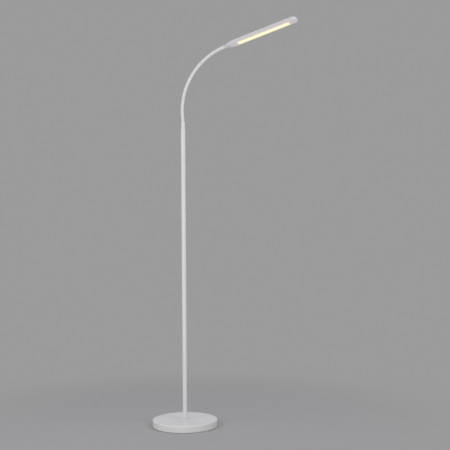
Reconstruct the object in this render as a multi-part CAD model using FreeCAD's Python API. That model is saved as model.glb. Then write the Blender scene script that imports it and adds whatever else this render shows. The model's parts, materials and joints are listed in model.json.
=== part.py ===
import FreeCAD, Part
import math
import os

# Gooseneck reading floor lamp. All sizes in millimetres.
# The origin is on the floor on the axis of the pole, +Z is up, +X is the way the head reaches,
# and +Y is the far side, where the power socket is.

Vector = FreeCAD.Vector
UP = Vector(0, 0, 1)

# ---- driving dimensions ---------------------------------------------------------------------

# base
base_diameter = 240.0
base_height = 25.0            # floor to the top of the cover
base_wall = 1.2
base_edge_radius = 3.0
base_edge_steps = 2           # flats that round the rim
base_rim_gap = 1.0            # floor to the lower rim of the cover
pad_thickness = 2.0
pad_inset = 8.0               # outer face of the cover to the edge of the pad
pad_hole_clearance = 1.25     # round the heads of the plate screws
plate_thickness = 1.5
plate_clearance = 0.4         # plate to the wall of the cover
room_under_weight = 12.3      # plate to weight, for the socket, the lead and the rod's nut
weight_clearance = 2.8        # weight to the wall of the cover
boss_diameter = 14.0
boss_circle_diameter = 140.0
boss_count = 4
plate_screw_diameter = 4.0
plate_screw_head_diameter = 7.5
plate_screw_head_height = 1.2
plate_screw_grip = 7.0        # length of thread in the boss

# what clamps the pole to the base
rod_diameter = 10.0
rod_bore = 6.0
rod_in_pole = 22.0            # length of the rod above the cover
rod_below_nut = 0.5
washer_diameter = 28.0
washer_thickness = 1.5
rod_nut_across_flats = 17.0
rod_nut_thickness = 3.5
thread_clearance = 0.05
hole_clearance = 0.3
collar_diameter = 26.0
collar_height = 3.4
collar_edge_radius = 1.2
collar_edge_steps = 2
collar_clearance = 0.15

# power socket in the wall of the base
socket_body_diameter = 8.0
socket_body_length = 12.0
socket_flange_diameter = 10.6
socket_flange_thickness = 1.2
socket_bore = 5.5
socket_bore_depth = 9.0
socket_pin_diameter = 2.1
socket_pin_recess = 1.5
socket_nut_across_flats = 10.0
socket_nut_thickness = 2.0
socket_nut_gap = 0.5          # plate to the nut

# pole
pole_diameter = 16.0
pole_wall = 1.0
pole_top = 1103.0             # floor to the top of the tube
pole_names = ("pole_lower", "pole_middle", "pole_upper")
insert_clearance = 0.05
foot_insert_length = 30.0
joiner_length = 44.0
joiner_bore = 9.0
top_insert_length = 24.0

# lead inside the base and the pole
lead_diameter = 3.0
lead_under_rod = 2.3          # lower end of the rod to the lead where it crosses the base
lead_slope_length = 12.0      # stretch in which it comes down from the socket
lead_bend_radius = 6.0
lead_bend_steps = 4
lead_end_gap = 1.0            # lead to the top of the lower ferrule

# lower ferrule of the neck
ferrule_height = 24.5
ferrule_diameter = 13.9
ferrule_lip_diameter = 15.2
ferrule_lip_height = 1.6
ferrule_thread_diameter = 8.0
ferrule_thread_length = 16.0

# neck
neck_diameter = 11.2
neck_bore = 4.4
link_count = 15
link_pitch = 21.5
link_gap = 0.3                # between two links along their hinge line
neck_lean = 5.0               # degrees, backwards out of the lower ferrule
neck_straight = 20.0          # length before the neck starts to curve
sideways_joints = (2, 6, 10, 14)
most_bend = 10.5              # degrees from rest at one joint that bends up or down
most_sway = 14.0              # degrees from rest at one joint that bends sideways
bevel_spare = 0.6             # degrees that the bevels leave free at the end of the travel

# ferrule and nut at the head end
upper_ferrule_diameter = 12.6
upper_ferrule_step = 0.5      # narrower first stretch, on the radius
upper_ferrule_nose = 3.0
head_thread_diameter = 6.0
head_nut_gap = 0.45           # nut to the inside of the head, above and below
head_nut_thickness = 3.6
head_thread_end = 0.9         # thread past the nut

# head
head_pitch = 17.2             # degrees above the horizontal
head_length = 282.0
head_width = 50.0
head_thickness = 12.5
head_wall = 1.8
head_top_radius = 3.0
head_low_radius = 1.0
head_edge_steps = 3           # flats that round the long edges
head_end_radius = 14.0
head_end_steps = 5            # flats that round the end, seen from above
tail_diameter = 13.2
tail_length = 42.0
tail_flare = 1.6              # power of the flare of the tail
tail_core = 20.0              # solid stretch that holds the thread
tail_bays = 5

# underside of the head
cover_thickness = 1.8
cover_clearance = 0.15
window_gap = 6.7              # control board to the window
window_end_inset = 32.0       # end of the head to the window
window_width = 36.0
window_radius = 3.0
diffuser_clearance = 0.15
diffuser_proud = 0.5
diffuser_flange = 1.8
diffuser_flange_thickness = 1.0
head_post_diameter = 6.0
head_post_inset_near = 5.7    # start of the control board to the near posts
head_post_inset_far = 15.0    # end of the head to the far posts
head_post_gap = 1.5           # control board to the near posts
head_post_spacing_far = 26.0
head_screw_diameter = 2.6
head_screw_head_diameter = 4.8
head_screw_head_height = 1.2
head_screw_grip = 5.5

# light and control parts
spreader_overlap = 3.0        # past each end of the window
spreader_width = 40.0
spreader_thickness = 1.5
board_width = 30.0
board_thickness = 1.0
chip_size = 2.8
chip_height = 0.7
chip_rows = 2
chip_row_pitch = 14.0
chip_pitch = 8.0
key_inset = 9.7               # start of the control board to the key
key_diameter = 12.0
key_clearance = 0.1
key_flange = 1.2
key_flange_thickness = 0.8
contact_diameter = 5.0
control_length = 18.0
control_width = 18.0
control_thickness = 1.2
control_gap = 0.8             # end of the thread to the control board
rib_height = 2.6
rib_width = 2.0
rib_spacing = 12.0

# flats that draw the round of a piece where no true cylinder is needed
small_sides = 12              # screws, threads and bores
fine_sides = 20               # links, inserts, washer and key
disc_sides = 48               # plate, weight and pad of the base

# ---- sizes that follow ----------------------------------------------------------------------

base_radius = base_diameter / 2
plate_z = pad_thickness
plate_top = plate_z + plate_thickness
weight_z = plate_top + room_under_weight
weight_top = base_height - base_wall
washer_z = weight_z - washer_thickness
rod_nut_z = washer_z - rod_nut_thickness
rod_z = rod_nut_z - rod_below_nut
socket_height = plate_top + socket_nut_gap + socket_nut_across_flats / 2
lead_height = rod_z - lead_under_rod - lead_diameter / 2
pole_radius = pole_diameter / 2
insert_radius = pole_radius - pole_wall - insert_clearance
pole_section = (pole_top - base_height) / len(pole_names)
neck_z = pole_top + ferrule_height

bore_radius = neck_bore / 2
neck_length = (link_count + 1) * link_pitch
neck_turn = math.radians(neck_lean + 90 - head_pitch)
neck_curve_radius = (neck_length - neck_straight) / neck_turn

half_width = head_width / 2
half_height = head_thickness / 2
tail_radius = tail_diameter / 2
ceiling = half_height - head_wall
cover_top = -half_height + cover_thickness
round_end = 0.98 * tail_radius     # roundness of the tail where it starts

# stations along the head
thread_end = tail_core + head_nut_thickness + head_thread_end
control_start = thread_end + control_gap
key_station = control_start + key_inset
window_start = control_start + control_length + window_gap
window_end = head_length - window_end_inset


# ---- helpers --------------------------------------------------------------------------------

def cylinder(radius, low, high):
    return Part.makeCylinder(radius, high - low, Vector(0, 0, low))


def tube(outer_radius, inner_radius, low, high):
    return cylinder(outer_radius, low, high).cut(cylinder(inner_radius, low, high))


def turned(points):
    """A solid turned about Z from (radius, height) points."""
    corners = [Vector(radius, 0, height) for radius, height in points]
    face = Part.Face(Part.makePolygon(corners + corners[:1]))
    return face.revolve(Vector(0, 0, 0), UP, 360)


def rounded_disc(radius, low, high, edge_radius, steps):
    """A disc whose upper rim is rounded in a number of flats."""
    rim = []
    for step in range(steps + 1):
        angle = math.pi / 2 * step / steps
        rim.append((radius - edge_radius * (1 - math.cos(angle)), high - edge_radius * (1 - math.sin(angle))))
    return turned([(0, low), (radius, low)] + rim + [(0, high)])


def ring(sides, radius, height):
    return Part.makePolygon([Vector(radius * math.cos(2 * math.pi * step / sides),
                                    radius * math.sin(2 * math.pi * step / sides), height)
                             for step in range(sides + 1)])


def bar(sides, radius, low, high):
    """An upright bar with a number of flats."""
    return Part.Face(ring(sides, radius, low)).extrude(Vector(0, 0, high - low))


def sleeve(outer_radius, inner_radius, low, high):
    return bar(fine_sides, outer_radius, low, high).cut(bar(small_sides, inner_radius, low, high))


def nut(across_flats, hole_radius, low, high):
    return bar(6, across_flats / math.sqrt(3), low, high).cut(bar(small_sides, hole_radius, low, high))


def screw(diameter, head_diameter, head_height, length, extra):
    """Head down at z = 0, shank upwards, grown all round by an extra for its hole."""
    head = bar(small_sides, head_diameter / 2 + extra, 0, head_height + extra)
    return head.fuse(bar(small_sides, diameter / 2 + extra, 0, length + extra))


def block(x_low, x_high, y_low, y_high, z_low, z_high):
    return Part.makeBox(x_high - x_low, y_high - y_low, z_high - z_low, Vector(x_low, y_low, z_low))


def rounded_plate(x_low, x_high, width, corner_radius, z_low, z_high):
    plate = block(x_low, x_high, -width / 2, width / 2, z_low, z_high)
    upright = [edge for edge in plate.Edges if edge.BoundBox.ZLength > (z_high - z_low) / 2]
    return plate.makeFillet(corner_radius, upright)


def around_pole(count, circle_diameter, first_angle):
    return [Vector(circle_diameter / 2 * math.cos(math.radians(first_angle + 360 * step / count)),
                   circle_diameter / 2 * math.sin(math.radians(first_angle + 360 * step / count)), 0)
            for step in range(count)]


def moved(solid, offset):
    copy = solid.copy()
    copy.translate(offset)
    return copy


def placed(solid, origin, rotation):
    """Puts a solid, wherever it was made, into another frame."""
    copy = solid.copy()
    copy.Placement = FreeCAD.Placement(origin, rotation).multiply(copy.Placement)
    return copy


def group(solids):
    return Part.makeCompound(solids)


# ---- base -----------------------------------------------------------------------------------

boss_places = around_pole(boss_count, boss_circle_diameter, 180 / boss_count)


def towards_far_side(solid):
    """Turns a part made along Z so that it points outwards through the wall on the +Y side."""
    return placed(solid, Vector(0, base_radius, socket_height), FreeCAD.Rotation(UP, Vector(0, 1, 0)))


def make_base_cover():
    outside = rounded_disc(base_radius, base_rim_gap, base_height, base_edge_radius, base_edge_steps)
    inside = rounded_disc(base_radius - base_wall, 0, weight_top, base_edge_radius - base_wall, 1)
    rod_hole = bar(small_sides, rod_diameter / 2 + hole_clearance, 0, base_height)
    socket_hole = towards_far_side(bar(small_sides, socket_body_diameter / 2 + thread_clearance,
                                       -3 * base_wall, base_wall))
    return outside.cut(inside).cut(rod_hole).cut(socket_hole)


def make_base_weight():
    disc = bar(disc_sides, base_radius - base_wall - weight_clearance, weight_z, weight_top)
    for place in boss_places:
        boss = bar(small_sides, boss_diameter / 2, plate_top, weight_z)
        disc = disc.fuse(moved(boss, place)).cut(moved(plate_screw(thread_clearance), place))
    return disc.cut(bar(small_sides, rod_diameter / 2 + hole_clearance, 0, base_height))


def plate_screw(extra):
    """Its head lies under the plate, in a hole of the pad."""
    whole = screw(plate_screw_diameter, plate_screw_head_diameter, plate_screw_head_height,
                  plate_screw_head_height + plate_thickness + plate_screw_grip, extra)
    return moved(whole, Vector(0, 0, plate_z - plate_screw_head_height))


def make_base_plate():
    disc = bar(disc_sides, base_radius - base_wall - plate_clearance, plate_z, plate_top)
    hole = bar(small_sides, plate_screw_diameter / 2 + thread_clearance, 0, plate_top)
    return disc.cut([moved(hole, place) for place in boss_places])


def make_plate_screws():
    return group([moved(plate_screw(0), place) for place in boss_places])


def make_base_pad():
    disc = bar(disc_sides, base_radius - pad_inset, 0, pad_thickness)
    hole = bar(small_sides, plate_screw_head_diameter / 2 + pad_hole_clearance, 0, pad_thickness)
    return disc.cut([moved(hole, place) for place in boss_places])


def make_power_socket():
    back = -base_wall - socket_body_length
    front = socket_flange_thickness
    flange = bar(fine_sides, socket_flange_diameter / 2, 0, front)
    body = bar(small_sides, socket_body_diameter / 2, back, 0)
    bore = bar(small_sides, socket_bore / 2, front - socket_bore_depth, front)
    pin = bar(small_sides, socket_pin_diameter / 2, back, front - socket_pin_recess)
    return towards_far_side(flange.fuse(body).cut(bore).fuse(pin))


def make_power_socket_nut():
    # The wall is curved, so the flat nut meets it at its corners, as far in as the curve falls back.
    inside = base_radius - base_wall
    reach = socket_nut_across_flats / math.sqrt(3)
    fall = inside - math.sqrt(inside ** 2 - reach ** 2)
    high = -base_wall - fall
    return towards_far_side(nut(socket_nut_across_flats, socket_body_diameter / 2 + thread_clearance,
                                high - socket_nut_thickness, high))


# ---- pole and what clamps it ----------------------------------------------------------------

def make_stem_rod():
    high = base_height + rod_in_pole
    return bar(small_sides, rod_diameter / 2, rod_z, high).cut(bar(small_sides, rod_bore / 2, rod_z, high))


def make_stem_washer():
    return sleeve(washer_diameter / 2, rod_diameter / 2 + hole_clearance, washer_z, weight_z)


def make_stem_nut():
    return nut(rod_nut_across_flats, rod_diameter / 2 + thread_clearance, rod_nut_z, washer_z)


def make_foot_collar():
    top = base_height + collar_height
    disc = rounded_disc(collar_diameter / 2, base_height, top, collar_edge_radius, collar_edge_steps)
    return disc.cut(bar(fine_sides, pole_radius + collar_clearance, base_height, top))


def make_pole_section(index):
    low = base_height + index * pole_section
    return tube(pole_radius, pole_radius - pole_wall, low, low + pole_section)


def make_pole_foot_insert():
    return sleeve(insert_radius, rod_diameter / 2 + thread_clearance,
                  base_height, base_height + foot_insert_length)


def make_pole_joiners():
    seams = [base_height + index * pole_section for index in range(1, len(pole_names))]
    half = joiner_length / 2
    return group([sleeve(insert_radius, joiner_bore / 2, seam - half, seam + half) for seam in seams])


def make_pole_top_insert():
    return sleeve(insert_radius, ferrule_thread_diameter / 2 + thread_clearance,
                  pole_top - top_insert_length, pole_top)


def make_pole_lead():
    """From the socket down and across the base, under the rod, round a bend and up the pole."""
    start = Vector(0, base_radius - base_wall - socket_body_length, socket_height)
    down = Vector(0, start.y - lead_slope_length, lead_height)
    centre = Vector(0, lead_bend_radius, lead_height + lead_bend_radius)
    bend = [centre - Vector(0, math.sin(angle), math.cos(angle)) * lead_bend_radius
            for angle in (math.pi / 2 * step / lead_bend_steps for step in range(lead_bend_steps + 1))]
    route = Part.makePolygon([start, down] + bend + [Vector(0, 0, neck_z - lead_end_gap)])
    end = placed(ring(small_sides, lead_diameter / 2, 0), start, FreeCAD.Rotation(UP, Vector(0, -1, 0)))
    return route.makePipeShell([end], True, False, 1)


# ---- neck -----------------------------------------------------------------------------------

def neck_angle(length):
    """Angle from the vertical, towards +X, at a length along the neck."""
    return -math.radians(neck_lean) + max(length - neck_straight, 0) / neck_curve_radius


def neck_point(length):
    lean = math.radians(neck_lean)
    straight = min(length, neck_straight)
    angle = neck_angle(length)
    x = -straight * math.sin(lean) + neck_curve_radius * (math.cos(lean) - math.cos(angle))
    z = straight * math.cos(lean) + neck_curve_radius * (math.sin(lean) + math.sin(angle))
    return Vector(x, 0, neck_z + z)


def along(start, end, solid):
    """Stands a part made along Z on one point and points it at another."""
    return placed(solid, start, FreeCAD.Rotation(UP, end - start))


pivots = [neck_point(index * link_pitch) for index in range(link_count + 1)]
tail_start = neck_point(neck_length)
stations = pivots + [tail_start]
directions = [UP] + [(stations[index + 1] - stations[index]).normalize() for index in range(link_count + 1)]


def beyond_joint(index, upwards):
    """Two wedges that bevel the end of a piece at a joint, on both sides of its hinge line.

    The wedges lie above the joint for the piece below it, and the other way round.
    """
    sideways = index in sideways_joints
    bevel = (most_sway if sideways else most_bend) / 2 + bevel_spare
    hinge = Vector(1, 0, 0) if sideways else Vector(0, 1, 0)
    reach = link_pitch / 2
    wedge = block(-reach, reach, -reach, reach, -link_gap / 2, reach)
    wedges = [placed(wedge, Vector(0, 0, 0), FreeCAD.Rotation(hinge, side * bevel)) for side in (1, -1)]
    pair = wedges[0].fuse(wedges[1])
    if not upwards:
        pair = placed(pair, Vector(0, 0, 0), FreeCAD.Rotation(Vector(1, 0, 0), 180))
    middle = directions[index] + directions[index + 1]
    return placed(pair, pivots[index], FreeCAD.Rotation(UP, middle))


def make_gooseneck_link(index):
    start = stations[index]
    end = stations[index + 1]
    length = start.distanceToPoint(end)
    spare = neck_diameter / 4
    link = along(start, end, sleeve(neck_diameter / 2, bore_radius, -spare, length + spare))
    return link.cut(beyond_joint(index, False)).cut(beyond_joint(index + 1, True))


def make_neck_ferrule_lower():
    spare = ferrule_diameter / 4
    body = cylinder(ferrule_diameter / 2, 0, ferrule_height + spare)
    lip = cylinder(ferrule_lip_diameter / 2, 0, ferrule_lip_height)
    thread = bar(small_sides, ferrule_thread_diameter / 2, -ferrule_thread_length, 0)
    bore = bar(small_sides, bore_radius, -ferrule_thread_length, ferrule_height + spare)
    solid = moved(body.fuse(lip).fuse(thread).cut(bore), Vector(0, 0, pole_top))
    return solid.cut(beyond_joint(0, True))


def in_head(solid):
    """Places a part made in the head's own frame: x along the head, z out of its top."""
    return placed(solid, tail_start, FreeCAD.Rotation(Vector(0, 1, 0), -head_pitch))


def along_head(solid, station):
    """Turns a part made along Z so that it lies along the head from a station."""
    return placed(solid, Vector(station, 0, 0), FreeCAD.Rotation(UP, Vector(1, 0, 0)))


def make_neck_ferrule_upper():
    start = pivots[-1]
    reach = start.distanceToPoint(tail_start)
    full = upper_ferrule_diameter / 2
    nose = cylinder(full - upper_ferrule_step, -full / 2, upper_ferrule_nose)
    body = nose.fuse(cylinder(full, upper_ferrule_nose, reach + full / 2))
    body = along(start, tail_start, body.cut(bar(small_sides, bore_radius, -full, reach + full)))
    past_tail = in_head(block(0, reach, -full * 2, full * 2, -full * 2, full * 2))
    thread = bar(small_sides, head_thread_diameter / 2, 0, thread_end)
    thread = thread.cut(bar(small_sides, bore_radius, 0, thread_end))
    body = body.cut(beyond_joint(link_count, False)).cut(past_tail)
    return body.fuse(in_head(along_head(thread, 0)))


def make_neck_nut():
    # It lies on a flat, because the head is too slim for it to stand on a corner.
    solid = nut(2 * (ceiling - head_nut_gap), head_thread_diameter / 2 + thread_clearance,
                0, head_nut_thickness)
    solid = placed(solid, Vector(0, 0, 0), FreeCAD.Rotation(UP, 30))
    return in_head(along_head(solid, tail_core))


# ---- head -----------------------------------------------------------------------------------

def tail_share(x):
    """0 at the round end of the tail, 1 where the head has its full width."""
    return 1 - (1 - min(x / tail_length, 1)) ** tail_flare


def head_half_width(x):
    return tail_radius + (half_width - tail_radius) * tail_share(x)


def head_section(x):
    """Cross-section of the head: round at the tail, a slim bar with eased edges from there on."""
    share = tail_share(x)
    wide = head_half_width(x)
    high = tail_radius + (half_height - tail_radius) * share
    quarters = ((1, 1, head_top_radius), (-1, 1, head_top_radius),
                (-1, -1, head_low_radius), (1, -1, head_low_radius))
    corners = []
    for side, level, edge_radius in quarters:
        radius = round_end + (edge_radius - round_end) * share
        turns = [math.pi / 2 * step / head_edge_steps for step in range(head_edge_steps + 1)]
        if side * level < 0:
            turns.reverse()
        corners += [Vector(x, side * (wide - radius * (1 - math.cos(turn))),
                           level * (high - radius * (1 - math.sin(turn)))) for turn in turns]
    return Part.makePolygon(corners + corners[:1])


def tail_steps(x_start):
    return [x_start + (tail_length - x_start) * step / tail_bays for step in range(tail_bays + 1)]


def head_outline(x_start, inset, z):
    """The head's outline seen from above, drawn in by an inset, from a station to its end."""
    if x_start < tail_length:
        side_points = [(x, head_half_width(x) - inset) for x in tail_steps(x_start)]
    else:
        side_points = [(x_start, half_width - inset)]
    corner = head_end_radius - inset
    for step in range(head_end_steps + 1):
        turn = math.pi / 2 * step / head_end_steps
        side_points.append((head_length - head_end_radius + corner * math.sin(turn),
                            half_width - head_end_radius + corner * math.cos(turn)))
    near_side = [Vector(x, -y, z) for x, y in side_points]
    far_side = [Vector(x, y, z) for x, y in reversed(side_points)]
    return Part.makePolygon(near_side + far_side + near_side[:1])


def head_plan(x_start, inset, low, high):
    return Part.Face(head_outline(x_start, inset, low)).extrude(Vector(0, 0, high - low))


def head_bar():
    """The straight stretch of the head, with its long edges and its end rounded."""
    turns = [math.pi / 2 * step / head_edge_steps for step in range(head_edge_steps + 1)]
    outlines = []
    for level, radius in ((-1, head_low_radius), (1, head_top_radius)):
        for turn in reversed(turns) if level < 0 else turns:
            outlines.append(head_outline(tail_length, radius * (1 - math.cos(turn)),
                                         level * (half_height - radius * (1 - math.sin(turn)))))
    return Part.makeLoft(outlines, True, True)


near_post_offset = control_width / 2 + head_post_gap + head_post_diameter / 2
head_posts = [Vector(x, side * offset, 0)
              for x, offset in ((control_start + head_post_inset_near, near_post_offset),
                                (head_length - head_post_inset_far, head_post_spacing_far / 2))
              for side in (1, -1)]


def head_screw(extra):
    whole = screw(head_screw_diameter, head_screw_head_diameter, head_screw_head_height,
                  cover_thickness + head_screw_grip, extra)
    return moved(whole, Vector(0, 0, -half_height))


def make_head_housing():
    tail = Part.makeLoft([head_section(x) for x in tail_steps(0)], True, True)
    shell = tail.fuse(head_bar())
    shell = shell.cut(head_plan(tail_core, head_wall, -2 * half_height, ceiling))
    shell = shell.cut(along_head(bar(small_sides, head_thread_diameter / 2 + thread_clearance,
                                     0, tail_core), 0))
    for place in head_posts:
        post = bar(small_sides, head_post_diameter / 2, cover_top, ceiling)
        shell = shell.fuse(moved(post, place)).cut(moved(head_screw(thread_clearance), place))
    key_hole = bar(fine_sides, key_diameter / 2 + key_clearance, 0, tail_diameter)
    shell = shell.cut(moved(key_hole, Vector(key_station, 0, 0)))
    return in_head(shell)


control_z = cover_top + rib_height


def make_head_bottom_cover():
    cover = head_plan(tail_core + cover_clearance, head_wall + cover_clearance, -half_height, cover_top)
    cover = cover.cut(rounded_plate(window_start, window_end, window_width,
                                    window_radius, -half_height, cover_top))
    for rib_middle in (rib_spacing / 2, -rib_spacing / 2):
        cover = cover.fuse(block(control_start, control_start + control_length,
                                 rib_middle - rib_width / 2, rib_middle + rib_width / 2,
                                 cover_top - cover_thickness / 2, control_z))
    for post in head_posts:
        cover = cover.cut(moved(head_screw(thread_clearance), post))
    return in_head(cover)


def make_head_screws():
    return in_head(group([moved(head_screw(0), post) for post in head_posts]))


def make_diffuser():
    lens = rounded_plate(window_start + diffuser_clearance, window_end - diffuser_clearance,
                         window_width - 2 * diffuser_clearance, window_radius - diffuser_clearance,
                         -half_height - diffuser_proud, cover_top)
    flange = rounded_plate(window_start - diffuser_flange, window_end + diffuser_flange,
                           window_width + 2 * diffuser_flange, window_radius + diffuser_flange,
                           cover_top, cover_top + diffuser_flange_thickness)
    return in_head(lens.fuse(flange))


spreader_z = ceiling - spreader_thickness
board_z = spreader_z - board_thickness


def make_heat_spreader():
    return in_head(block(window_start - spreader_overlap, window_end + spreader_overlap,
                         -spreader_width / 2, spreader_width / 2, spreader_z, ceiling))


def make_led_board():
    return in_head(block(window_start, window_end, -board_width / 2, board_width / 2,
                         board_z, spreader_z))


def make_led_chips():
    # As many as fit on the board with half a pitch free at each end.
    chips_per_row = int((window_end - window_start) / chip_pitch) - 1
    middle = (window_start + window_end) / 2
    chips = []
    for row in range(chip_rows):
        y = (row - (chip_rows - 1) / 2) * chip_row_pitch
        for step in range(chips_per_row):
            x = middle + (step - (chips_per_row - 1) / 2) * chip_pitch
            chips.append(block(x - chip_size / 2, x + chip_size / 2, y - chip_size / 2, y + chip_size / 2,
                               board_z - chip_height, board_z))
    return in_head(group(chips))


def make_touch_key():
    cap = bar(fine_sides, key_diameter / 2, ceiling, half_height)
    flange = bar(fine_sides, key_diameter / 2 + key_flange, ceiling - key_flange_thickness, ceiling)
    return in_head(moved(cap.fuse(flange), Vector(key_station, 0, 0)))


def make_touch_contact():
    low = control_z + control_thickness
    contact = bar(small_sides, contact_diameter / 2, low, ceiling - key_flange_thickness)
    return in_head(moved(contact, Vector(key_station, 0, 0)))


def make_control_board():
    return in_head(block(control_start, control_start + control_length,
                         -control_width / 2, control_width / 2, control_z, control_z + control_thickness))


# ---- the lamp -------------------------------------------------------------------------------

nodes = {
    "base_cover": make_base_cover(),
    "base_weight": make_base_weight(),
    "base_plate": make_base_plate(),
    "plate_screws": make_plate_screws(),
    "base_pad": make_base_pad(),
    "power_socket": make_power_socket(),
    "power_socket_nut": make_power_socket_nut(),
    "stem_rod": make_stem_rod(),
    "stem_washer": make_stem_washer(),
    "stem_nut": make_stem_nut(),
    "foot_collar": make_foot_collar(),
    "pole_foot_insert": make_pole_foot_insert(),
    "pole_joiners": make_pole_joiners(),
    "pole_top_insert": make_pole_top_insert(),
    "pole_lead": make_pole_lead(),
    "neck_ferrule_lower": make_neck_ferrule_lower(),
    "neck_ferrule_upper": make_neck_ferrule_upper(),
    "neck_nut": make_neck_nut(),
    "head_housing": make_head_housing(),
    "head_bottom_cover": make_head_bottom_cover(),
    "head_screws": make_head_screws(),
    "diffuser": make_diffuser(),
    "heat_spreader": make_heat_spreader(),
    "led_board": make_led_board(),
    "led_chips": make_led_chips(),
    "touch_key": make_touch_key(),
    "touch_contact": make_touch_contact(),
    "control_board": make_control_board(),
}
for index, name in enumerate(pole_names):
    nodes[name] = make_pole_section(index)
for index in range(link_count):
    nodes["gooseneck_link_%02d" % (index + 1)] = make_gooseneck_link(index)

os.makedirs("parts", exist_ok=True)
for name, shape in nodes.items():
    if not shape.isValid():
        raise RuntimeError(name + " isn't a valid solid")
    shape.exportStep("parts/" + name + ".step")

for index, pivot in enumerate(pivots):
    print("pivot %d  x %.4f  z %.4f  angle %.4f" % (index, pivot.x, pivot.z,
                                                    math.degrees(neck_angle(index * link_pitch))))
print("tail start  x %.4f  z %.4f" % (tail_start.x, tail_start.z))
for index in range(link_count + 1):
    middle = directions[index] + directions[index + 1]
    print("joint %d  turns %s  middle %.4f degrees from upright"
          % (index, "sideways" if index in sideways_joints else "up and down",
             math.degrees(math.atan2(middle.x, middle.z))))
print("neck curve radius %.2f, %d nodes" % (neck_curve_radius, len(nodes)))
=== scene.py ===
# %% [markdown]
# # A gooseneck reading floor lamp
# The lamp is a weighted round base, a slim pole, a neck of wound steel that stays where it is
# bent, and a flat bar of a head with a lit strip underneath. All of it is white.
# The measured model comes first and stays as it is: it says where each part sits and which
# parts move together. Each visible part is then drawn again on top of it, with rounder edges,
# ribs, screws and a painted surface, and rides on the same moving body.

# %% Load the measured model
import json
import math

import bmesh
import bpy
from mathutils import Matrix, Vector


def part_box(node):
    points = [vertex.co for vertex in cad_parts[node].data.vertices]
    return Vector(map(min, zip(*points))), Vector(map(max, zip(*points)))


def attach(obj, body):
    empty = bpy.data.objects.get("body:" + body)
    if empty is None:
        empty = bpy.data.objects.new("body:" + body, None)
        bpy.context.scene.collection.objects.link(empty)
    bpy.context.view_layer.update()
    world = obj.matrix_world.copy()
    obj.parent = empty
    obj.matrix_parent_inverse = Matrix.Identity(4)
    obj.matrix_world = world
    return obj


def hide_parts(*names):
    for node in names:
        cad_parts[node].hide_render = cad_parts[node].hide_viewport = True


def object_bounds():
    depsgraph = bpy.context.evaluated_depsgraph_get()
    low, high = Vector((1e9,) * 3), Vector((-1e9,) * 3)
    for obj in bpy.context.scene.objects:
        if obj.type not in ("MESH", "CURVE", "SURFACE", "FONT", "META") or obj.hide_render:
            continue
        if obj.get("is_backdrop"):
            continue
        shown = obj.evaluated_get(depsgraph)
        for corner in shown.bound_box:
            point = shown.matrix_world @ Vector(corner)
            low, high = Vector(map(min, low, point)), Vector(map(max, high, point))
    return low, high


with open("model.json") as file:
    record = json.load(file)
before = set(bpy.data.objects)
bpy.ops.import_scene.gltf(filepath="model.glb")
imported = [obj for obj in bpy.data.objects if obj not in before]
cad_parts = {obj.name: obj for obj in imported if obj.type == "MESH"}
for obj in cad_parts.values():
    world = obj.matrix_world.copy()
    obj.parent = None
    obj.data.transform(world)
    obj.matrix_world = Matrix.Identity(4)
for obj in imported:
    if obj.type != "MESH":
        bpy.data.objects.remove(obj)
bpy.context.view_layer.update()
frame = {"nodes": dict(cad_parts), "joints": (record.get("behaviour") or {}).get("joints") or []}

# %% [markdown]
# ## The sizes
# A maker thinks in millimetres, so every size here is in millimetres, and a point turns into
# metres only when a mesh is made. The sizes are those of the measured model. The neck stands
# straight for 20 mm, leaning back by 5 degrees, and then curves forward on one arc until it
# points along the head, 17.2 degrees above the horizontal.

# %% Sizes in millimetres
BASE_RADIUS = 120.0
BASE_HEIGHT = 25.0
BASE_WALL = 1.2
SOCKET_HEIGHT = 9.0
POLE_RADIUS = 8.0
POLE_BORE = 7.0
POLE_TOP = 1103.0
FERRULE_TOP = 1127.5
NECK_RADIUS = 5.6
LINK_PITCH = 21.5
LINKS = 15
NECK_LENGTH = (LINKS + 1) * LINK_PITCH
NECK_LEAN = math.radians(5.0)
NECK_STRAIGHT = 20.0
HEAD_PITCH = math.radians(17.2)
NECK_BEND_RADIUS = (NECK_LENGTH - NECK_STRAIGHT) / (NECK_LEAN + math.pi / 2 - HEAD_PITCH)
HEAD_LENGTH = 282.0
HEAD_HALF_WIDTH = 25.0
HEAD_HALF_HEIGHT = 6.25
HEAD_WALL = 1.8
TAIL_RADIUS = 6.6
TAIL_LENGTH = 42.0
UNDER = -HEAD_HALF_HEIGHT
CEILING = HEAD_HALF_HEIGHT - HEAD_WALL


def neck_angle(length):
    """How far the neck leans forward from upright, at a length along it."""
    return -NECK_LEAN + max(length - NECK_STRAIGHT, 0) / NECK_BEND_RADIUS


def neck_centre(length):
    """The middle of the neck at a length along it."""
    straight = min(length, NECK_STRAIGHT)
    angle = neck_angle(length)
    x = -straight * math.sin(NECK_LEAN) + NECK_BEND_RADIUS * (math.cos(NECK_LEAN) - math.cos(angle))
    z = straight * math.cos(NECK_LEAN) + NECK_BEND_RADIUS * (math.sin(NECK_LEAN) + math.sin(angle))
    return Vector((x, 0, FERRULE_TOP + z))


offsets = [(neck_centre(index * LINK_PITCH) - Vector(joint["pos_m"]) * 1000).length
           for index, joint in enumerate(frame["joints"])]
print("neck drawn off its joints by at most %.4f mm" % max(offsets))

# %% [markdown]
# ## The camera
# The picture of the lamp was taken from 3.2 m away at the height of a table, level, with a
# moderately long lens. The camera goes there first, so that every later look is from the same
# place. It is turned by 0.4 degrees about its own line of sight, as the picture is.

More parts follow.
